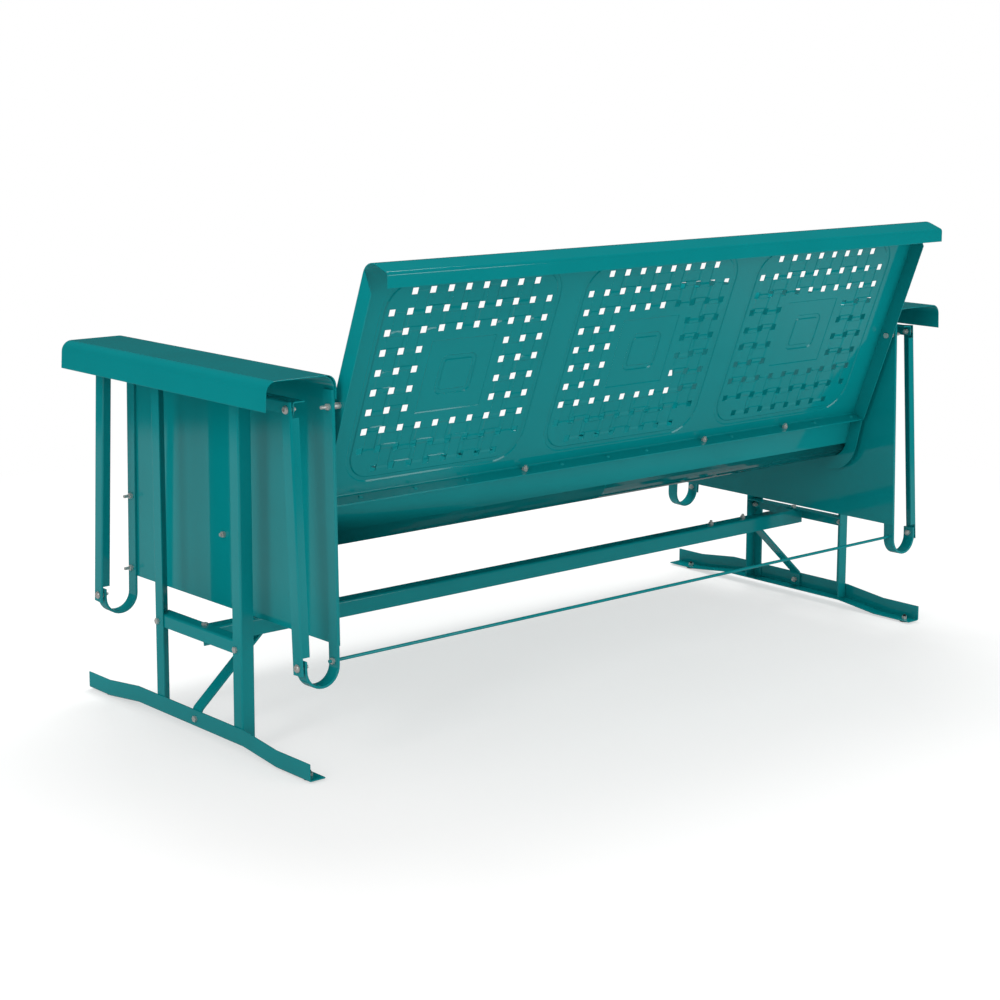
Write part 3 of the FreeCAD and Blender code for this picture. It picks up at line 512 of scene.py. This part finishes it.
def leg(node, inward):
    """Upright angle; its inboard flange stops under the top rail."""
    low, high = box(node)
    face = low.y if inward > 0 else high.y
    other = high.y if inward > 0 else low.y
    path = [point(low.x, face, low.z), point(high.x, face, low.z), point(high.x, other, low.z)]
    stop = box("left_top_rail")[0].z

    def trim(bm):
        score(bm, point(0, 0, stop), Z)
        web = high.x - LEG_BEND
        drop_faces(bm, lambda p: p.z > stop and p.x < web)

    return folded(path, [LEG_BEND], Z * (high.z - low.z), Y * inward, ANGLE, trim)


def cross_rail():
    low, high = box("left_cross_rail")
    path = [point(high.x, low.y, low.z), point(high.x, low.y, high.z), point(low.x, low.y, high.z)]
    return folded(path, [ANGLE_BEND], Y * (high.y - low.y), -X, ANGLE)


def stretcher():
    low, high = box("stretcher")
    path = [point(low.x, high.y, low.z), point(low.x, high.y, high.z), point(low.x, low.y, high.z)]
    return folded(path, [ANGLE_BEND], X * (high.x - low.x), -Y, ANGLE)


def brace():
    low, high = box("left_brace")
    knee = 48 * MM
    turn_x = 641 * MM
    path = [point(high.x, low.y, low.z), point(high.x, low.y, knee), point(turn_x, low.y, high.z),
            point(low.x, low.y, high.z)]
    return folded(path, [BRACE_BEND, BRACE_BEND], Y * (high.y - low.y), -X, FLAT)


def foot_rail():
    """Angle on edge along the floor, its middle raised a little."""
    low, high = box("left_foot_rail")
    raised = low.z + 11.6 * MM
    ends = [(low.y, low.z), (-332 * MM, low.z), (-230 * MM, raised), (112 * MM, raised), (212 * MM, low.z),
            (high.y, low.z)]
    path = [point(high.x, y, z) for y, z in ends]
    bm = bmesh.new()
    edges = open_path(bm, path)
    sweep(bm, edges, X * (low.x - high.x))
    corner = [e for e in bm.edges if all(abs(v.co.x - high.x) < 1e-6 for v in e.verts)]
    sweep(bm, corner, Z * (high.z - low.z - 11.6 * MM))
    folds = [e for e in bm.edges if len(e.link_faces) == 2 and abs(e.verts[0].co.x - high.x) < 1e-6
             and abs(e.verts[1].co.x - high.x) < 1e-6 and abs(e.verts[0].co.y - e.verts[1].co.y) > 1e-6]
    bmesh.ops.bevel(bm, geom=folds, offset=LEG_BEND, offset_type="OFFSET", segments=BEND_STEPS // 2,
                    profile=0.5, affect="EDGES", material=-1)
    thicken(bm, (path[0] + path[1]) / 2.0 - X * (high.x - low.x) / 2.0, Z, ANGLE)
    return bm


pair("top_rail", top_rail(), "base", "frame_paint", FRAME_PAINT)
pair("front_leg", leg("left_front_leg", 1), "base", "frame_paint", FRAME_PAINT)
pair("rear_leg", leg("left_rear_leg", -1), "base", "frame_paint", FRAME_PAINT)
pair("cross_rail", cross_rail(), "base", "frame_paint", FRAME_PAINT)
pair("brace", brace(), "base", "frame_paint", FRAME_PAINT)
pair("foot_rail", foot_rail(), "base", "frame_paint", FRAME_PAINT)
piece("shown_stretcher", stretcher(), "base", "stretcher", FRAME_PAINT)


# Pressed squares
def border(bm, half, bend):
    """Raised bead round a square with rounded corners; half and bend are those of its inner line."""
    steps = [(0.0, 0.0), (BEAD_SIDE, BEAD_RISE), (BEAD - BEAD_SIDE, BEAD_RISE), (BEAD, 0.0)]
    for k in range(4):
        turn = Matrix.Rotation(k * math.pi / 2.0, 3, "Z")
        here = half if k % 2 == 0 else (half[1], half[0])
        centre = turn @ point(here[0] - bend, here[1] - bend, 0)
        points = [centre + turn @ point(bend + out, 0, rise) for out, rise in steps]
        sweep(bm, open_path(bm, points), turn @ point(0, -2.0 * (here[1] - bend), 0))
        edges = open_path(bm, points)
        geom = edges + list({v for e in edges for v in e.verts})
        bmesh.ops.spin(bm, geom=geom, cent=centre, axis=Z, dvec=(0, 0, 0), angle=math.pi / 2.0,
                       steps=CORNER_STEPS, use_duplicate=False)
    bmesh.ops.remove_doubles(bm, verts=bm.verts[:], dist=1e-6)


def past_line(p, half, bend):
    """How far a point of the flat pattern lies outside a rounded square."""
    x = abs(p.x) - half[0] + bend
    y = abs(p.y) - half[1] + bend
    return math.hypot(max(x, 0.0), max(y, 0.0)) + min(max(x, y), 0.0) - bend


def in_rect(p, x, y, half_x, half_y):
    return abs(p.x - x) < half_x and abs(p.y - y) < half_y


def middle_of(edge):
    return (edge.verts[0].co + edge.verts[1].co) / 2.0


def rim(bm):
    """Open edges of a surface."""
    return [e for e in bm.edges if len(e.link_faces) == 1]


def weave(bm):
    """Basket weave: a pierced sheet whose strips rise in turn where they cross. Gives its outline."""
    middle = (GRID - 1) / 2.0
    centres = [[(k - middle) * step for k in range(GRID)] for step in PITCH]
    edge = [c[-1] + HOLE / 2.0 + WEAVE_EDGE for c in centres]
    bmesh.ops.create_grid(bm, x_segments=1, y_segments=1, size=1.0)
    bmesh.ops.scale(bm, vec=(edge[0], edge[1], 1), verts=bm.verts[:])
    corner = [(c[-1] + c[-2]) / 2.0 for c in centres]
    gap = [half + FIELD_EDGE for half in FIELD]
    for axis, along in ((0, X), (1, Y)):
        lines = [c + d for c in centres[axis] for d in (-HOLE / 2.0, 0.0, HOLE / 2.0)]
        lines += [corner[axis], -corner[axis], gap[axis], -gap[axis]]
        for line in lines:
            score(bm, along * line, along)
    low = (GRID - BLANK) // 2
    holes = []
    for row in range(GRID):
        for column in range(GRID):
            at_corner = row in (0, GRID - 1) and column in (0, GRID - 1)
            blank = low <= row < low + BLANK and low <= column < low + BLANK
            if not at_corner and not blank:
                holes.append((centres[0][column], centres[1][row]))
    half = HOLE / 2.0

    def away(p):
        past_corner = abs(p.x) > corner[0] and abs(p.y) > corner[1]
        return past_corner or any(in_rect(p, x, y, half, half) for x, y in holes)

    drop_faces(bm, away)
    bmesh.ops.delete(bm, geom=[v for v in bm.verts if not v.link_faces], context="VERTS")
    reach = half * 1.02
    outline = [e for e in rim(bm) if not any(in_rect(middle_of(e), x, y, reach, reach) for x, y in holes)]
    band = [(step - HOLE) / 2.0 for step in PITCH]
    for i in range(GRID - 1):
        for j in range(GRID - 1):
            x = (centres[0][i] + centres[0][i + 1]) / 2.0
            y = (centres[1][j] + centres[1][j + 1]) / 2.0
            middle_part = abs(x) < 2.1 * PITCH[0] and abs(y) < 2.1 * PITCH[1]
            cut_corner = abs(x) > 3.9 * PITCH[0] and abs(y) > 3.9 * PITCH[1]
            if middle_part or cut_corner:
                continue
            across = (i + j) % 2 == 0
            size = (PITCH[0] / 2.0, band[1]) if across else (band[0], PITCH[1] / 2.0)
            pad = [f for f in bm.faces if in_rect(f.calc_center_median(), x, y, *size)]
            bmesh.ops.inset_region(bm, faces=pad, thickness=WEAVE_SIDE, depth=WEAVE_RISE,
                                   use_even_offset=True, use_boundary=True)
    drop_faces(bm, lambda p: in_rect(p, 0, 0, *gap))
    made = bmesh.ops.create_grid(bm, x_segments=1, y_segments=1, size=1.0)["verts"]
    bmesh.ops.scale(bm, vec=(FIELD[0], FIELD[1], 1), verts=made)
    field = list(made[0].link_faces)
    bmesh.ops.inset_region(bm, faces=field, thickness=WEAVE_SIDE, depth=WEAVE_RISE, use_even_offset=True,
                           use_boundary=True)
    bmesh.ops.delete(bm, geom=field, context="FACES")
    frame_half = [half - FRAME_IN - BEAD for half in FIELD]
    raised = bmesh.new()
    border(raised, frame_half, FRAME_BEND)
    bmesh.ops.translate(raised, verts=raised.verts[:], vec=Z * WEAVE_RISE)
    mesh = bpy.data.meshes.new("middle frame")
    raised.to_mesh(mesh)
    raised.free()
    bm.from_mesh(mesh)
    level = [e for e in rim(bm) if in_rect(middle_of(e), 0, 0, *FIELD) and abs(middle_of(e).z - WEAVE_RISE) < 1e-6]
    inside = [e for e in level if past_line(middle_of(e), frame_half, FRAME_BEND) < BEAD / 2.0]
    around = [e for e in level if e not in inside]
    for edges in (inside, around):
        bmesh.ops.triangle_fill(bm, use_beauty=True, use_dissolve=False, edges=edges, normal=Z)
    opening = [e for e in rim(bm) if in_rect(middle_of(e), 0, 0, gap[0] + EDGE, gap[1] + EDGE)]
    bmesh.ops.triangle_fill(bm, use_beauty=True, use_dissolve=False, edges=opening, normal=Z)
    return outline


RING_HALF = [(GRID - 1) / 2.0 * step + RING_IN for step in PITCH]


def pressed_square():
    """One square, flat: the weave, the border round it and the plain sheet between them."""
    bm = bmesh.new()
    outline = weave(bm)
    border(bm, RING_HALF, RING_BEND)
    inner = [e for e in rim(bm) if abs(past_line(middle_of(e), RING_HALF, RING_BEND)) < 0.5 * MM]
    bmesh.ops.triangle_fill(bm, use_beauty=True, use_dissolve=False, edges=outline + inner, normal=Z)
    mesh = bpy.data.meshes.new("square")
    bm.to_mesh(mesh)
    bm.free()
    return mesh


SQUARE = pressed_square()


def pressed_sheet(path, bends, toward, centre, across, up):
    """Folded sheet whose flat part carries the three squares; across and up lie in that flat."""
    travel = X * (2.0 * SHELL_HALF)
    bm = bmesh.new()
    sweep(bm, open_path(bm, path), travel)
    round_folds(bm, path, bends, travel)
    out = across.cross(up)
    plain = min(bm.faces, key=lambda f: abs((f.calc_center_median() - centre).dot(out)) - f.calc_area())
    edges = list(plain.edges)
    bmesh.ops.delete(bm, geom=[plain], context="FACES_ONLY")
    for k in (-1, 0, 1):
        place = Matrix.Translation(centre + X * (k * SQUARE_STEP)) @ Matrix((across, up, out)).transposed().to_4x4()
        copy = SQUARE.copy()
        copy.transform(place)
        bm.from_mesh(copy)
        back = place.inverted()
        for e in rim(bm):
            if abs(past_line(back @ middle_of(e), RING_HALF, RING_BEND) - BEAD) < 1 * MM \
                    and abs((back @ middle_of(e)).z) < 1e-5 and e not in edges:
                edges.append(e)
    bmesh.ops.triangle_fill(bm, use_beauty=True, use_dissolve=False, edges=edges, normal=out)
    thicken(bm, (path[0] + path[1] + travel) / 2.0, toward, SHEET)
    return bm


def add_ear(bm, shape):
    """Adds the side flange and its mirror image."""
    for part in (shape, mirrored(shape)):
        copy = bpy.data.meshes.new("ear")
        part.to_mesh(copy)
        part.free()
        bm.from_mesh(copy)


def plate(points, travel):
    """Flat plate under an outline."""
    bm = bmesh.new()
    edges = closed_path(bm, points)
    face = bmesh.ops.contextual_create(bm, geom=edges)["faces"]
    made = bmesh.ops.extrude_face_region(bm, geom=face)["geom"]
    bmesh.ops.translate(bm, verts=[g for g in made if isinstance(g, bmesh.types.BMVert)], vec=travel)
    bmesh.ops.recalc_face_normals(bm, faces=bm.faces[:])
    return bm


# Back and seat
BACK_TOP = 870 * MM
ROLL = 27 * MM
ROLL_LIP = 25 * MM
ROLL_CORNER = 7 * MM
BACK_FOOT = 27 * MM
FLANGE_STOP = 24 * MM
REAR_Y = 406 * MM
PAN_REAR_Y = 163 * MM
WALL_LEAN = math.radians(13.7)
PAN_RISE = math.radians(8.5)
SKIRT_Y = -370 * MM + SHEET
SKIRT_Z = 223 * MM + SHEET
SKIRT_RETURN = 16 * MM
BACK_SQUARE_UP = 217 * MM
SEAT_SQUARE_IN = 268 * MM

roll_up = (BACK_TOP - ROLL - CREASE.z + (ROLL - SHEET) * math.sin(LEAN)) / math.cos(LEAN) + ROLL
roll_rear = on_back(roll_up, (REAR_Y - on_back(roll_up, 0).y) / math.cos(LEAN))
side = X * -SHELL_HALF
back_path = [side + p for p in (on_back(-SHEET, BACK_FOOT), on_back(-SHEET, -SHEET), on_back(roll_up, -SHEET),
                                roll_rear, roll_rear - Z * ROLL_LIP)]
back = pressed_sheet(back_path, [4.5 * MM, ROLL, ROLL_CORNER], UP_BACK, on_back(BACK_SQUARE_UP, -SHEET), X, UP_BACK)
stop = roll_up - ROLL - FLANGE_STOP
ear = [on_back(0, 0), on_back(0, SIDE_FLANGE), on_back(stop, SIDE_FLANGE), on_back(stop + SIDE_FLANGE, 0)]
add_ear(back, plate([p + X * SHELL_HALF for p in ear], X * -SHEET))
piece("shown_back_panel", back, "glider", "back_panel", PRESSED_PAINT, 0.3 * MM, math.radians(60))

wall_top = on_back(-2.0 * SHEET, -SHEET)
pan_rear = point(0, PAN_REAR_Y, wall_top.z - (wall_top.y - PAN_REAR_Y) / math.tan(WALL_LEAN))
pan_front = point(0, SKIRT_Y, pan_rear.z + (PAN_REAR_Y - SKIRT_Y) * math.tan(PAN_RISE))
skirt_foot = point(0, SKIRT_Y, SKIRT_Z)
seat_path = [side + p for p in (on_back(-2.0 * SHEET, BACK_FOOT), wall_top, pan_rear, pan_front, skirt_foot,
                                skirt_foot + Y * SKIRT_RETURN)]
rising = (pan_front - pan_rear).normalized()
seat = pressed_sheet(seat_path, [3 * MM, 45 * MM, 36.5 * MM, 3 * MM], UP_BACK,
                     pan_rear + rising * SEAT_SQUARE_IN, -X, rising)
inset = X * (2.0 * SHELL_HALF - SHEET)
low_wall = wall_top + (pan_rear - wall_top).normalized() * (3 * MM)
ear_path = [side + inset + p for p in (low_wall, pan_rear, pan_front, skirt_foot)]
add_ear(seat, folded(ear_path, [45 * MM, 36.5 * MM], X * SHEET, Y, SIDE_FLANGE - SHEET))
piece("shown_seat_panel", seat, "glider", "seat_panel", PRESSED_PAINT, 0.3 * MM, math.radians(60))


# Floor, lights and camera
PAINTED_FLOOR_GLOSS = ((0.32, 0.22), (0.42, 0.42), (0.87, 0.42), (0.95, 0.03))   # painted reflection: the floor's glow to glossy rays, by radius / 4 m; the low level round the middle is a painted shadow of the bench, and the glow fades to almost nothing far out


def floor():
    bm = bmesh.new()
    bmesh.ops.create_grid(bm, x_segments=1, y_segments=1, size=40.0)
    mesh = bpy.data.meshes.new("studio_floor")
    bm.to_mesh(mesh)
    bm.free()
    made = bpy.data.objects.new("studio_floor", mesh)
    bpy.context.scene.collection.objects.link(made)
    material = bpy.data.materials.new("studio_floor_white")
    material.use_nodes = True
    tree = material.node_tree
    surface = tree.nodes["Principled BSDF"]
    surface.inputs["Base Color"].default_value = (0.93, 0.93, 0.925, 1)
    surface.inputs["Roughness"].default_value = 0.9
    surface.inputs["Specular IOR Level"].default_value = 0.1
    shadow = tree.nodes.new("ShaderNodeBsdfDiffuse")
    shadow.inputs["Color"].default_value = (0.50, 0.50, 0.495, 1)
    paper = tree.nodes.new("ShaderNodeEmission")
    paper.inputs["Strength"].default_value = 0.56
    both = tree.nodes.new("ShaderNodeAddShader")
    tree.links.new(shadow.outputs[0], both.inputs[0])
    tree.links.new(paper.outputs[0], both.inputs[1])
    white = tree.nodes.new("ShaderNodeEmission")
    place = tree.nodes.new("ShaderNodeTexCoord")
    reach = tree.nodes.new("ShaderNodeVectorMath")
    reach.operation = "LENGTH"
    tree.links.new(place.outputs["Object"], reach.inputs[0])
    fade = tree.nodes.new("ShaderNodeMapRange")
    fade.inputs["From Min"].default_value = 1.3
    fade.inputs["From Max"].default_value = 2.4
    tree.links.new(reach.outputs["Value"], fade.inputs["Value"])
    seen = tree.nodes.new("ShaderNodeMixShader")
    tree.links.new(fade.outputs["Result"], seen.inputs["Fac"])
    tree.links.new(both.outputs[0], seen.inputs[1])
    tree.links.new(white.outputs[0], seen.inputs[2])
    rays = tree.nodes.new("ShaderNodeLightPath")
    final = tree.nodes.new("ShaderNodeMixShader")
    tree.links.new(rays.outputs["Is Camera Ray"], final.inputs["Fac"])
    tree.links.new(surface.outputs[0], final.inputs[1])
    tree.links.new(seen.outputs[0], final.inputs[2])
    # Painted reflection: to glossy rays the floor glows at levels set by its distance from the middle, with a
    # painted shadow of the bench round the middle.
    radius = tree.nodes.new("ShaderNodeMath")
    radius.operation = "MULTIPLY"
    radius.inputs[1].default_value = 0.25
    tree.links.new(reach.outputs["Value"], radius.inputs[0])
    painted_gloss_levels = tree.nodes.new("ShaderNodeValToRGB")
    stops = painted_gloss_levels.color_ramp.elements
    stops[0].position, stops[0].color = PAINTED_FLOOR_GLOSS[0][0], (PAINTED_FLOOR_GLOSS[0][1],) * 3 + (1,)
    stops[1].position, stops[1].color = PAINTED_FLOOR_GLOSS[-1][0], (PAINTED_FLOOR_GLOSS[-1][1],) * 3 + (1,)
    for at_radius, grey in PAINTED_FLOOR_GLOSS[1:-1]:
        stops.new(at_radius).color = (grey, grey, grey, 1)
    tree.links.new(radius.outputs[0], painted_gloss_levels.inputs["Fac"])
    painted_reflection = tree.nodes.new("ShaderNodeEmission")
    tree.links.new(painted_gloss_levels.outputs["Color"], painted_reflection.inputs["Color"])
    last = tree.nodes.new("ShaderNodeMixShader")
    tree.links.new(rays.outputs["Is Glossy Ray"], last.inputs["Fac"])
    tree.links.new(final.outputs[0], last.inputs[1])
    tree.links.new(painted_reflection.outputs[0], last.inputs[2])
    tree.links.new(last.outputs[0], tree.nodes["Material Output"].inputs["Surface"])
    material.cycles.emission_sampling = "NONE"
    mesh.materials.append(material)


floor()

world = bpy.data.worlds.new("studio")
bpy.context.scene.world = world
world.use_nodes = True
sky = world.node_tree
background = sky.nodes["Background"]
background.inputs["Color"].default_value = (1, 1, 1, 1)
rays = sky.nodes.new("ShaderNodeLightPath")
glossy = sky.nodes.new("ShaderNodeMapRange")
glossy.inputs["To Min"].default_value = 0.60
glossy.inputs["To Max"].default_value = 0.03
sky.links.new(rays.outputs["Is Glossy Ray"], glossy.inputs["Value"])
level = sky.nodes.new("ShaderNodeMapRange")
level.inputs["To Max"].default_value = 1.0
sky.links.new(rays.outputs["Is Camera Ray"], level.inputs["Value"])
sky.links.new(glossy.outputs["Result"], level.inputs["To Min"])
sky.links.new(level.outputs["Result"], background.inputs["Strength"])


def lamp(name, place, target, size, power):
    light = bpy.data.lights.new(name, "AREA")
    light.shape = "RECTANGLE"
    light.size, light.size_y = size
    light.energy = power
    made = bpy.data.objects.new(name, light)
    bpy.context.scene.collection.objects.link(made)
    made.location = place
    aim = Vector(target) - Vector(place)
    made.rotation_euler = aim.to_track_quat("-Z", "Y").to_euler()


lamp("key", (-1.3, -1.9, 5.0), (0, 0, 0.3), (3.0, 2.0), 150)
lamp("fill", (4.5, 1.5, 2.6), (0, 0, 0.5), (1.2, 2.5), 52)
lamp("back_fill", (-1.5, 4.3, 1.3), (0, 0, 0.5), (2.5, 1.5), 34)

camera = bpy.data.cameras.new("photo_camera")
camera.sensor_width = 36.0
camera.lens = 76.88
camera.shift_y = -0.10
camera.clip_end = 200.0
view = bpy.data.objects.new("photo_camera", camera)
bpy.context.scene.collection.objects.link(view)
view.location = (2.8055, 3.0890, 1.1982)
view.rotation_euler = (math.radians(80.872), math.radians(-0.236), math.radians(139.049))
bpy.context.scene.camera = view
bpy.context.scene.view_settings.view_transform = "Standard"
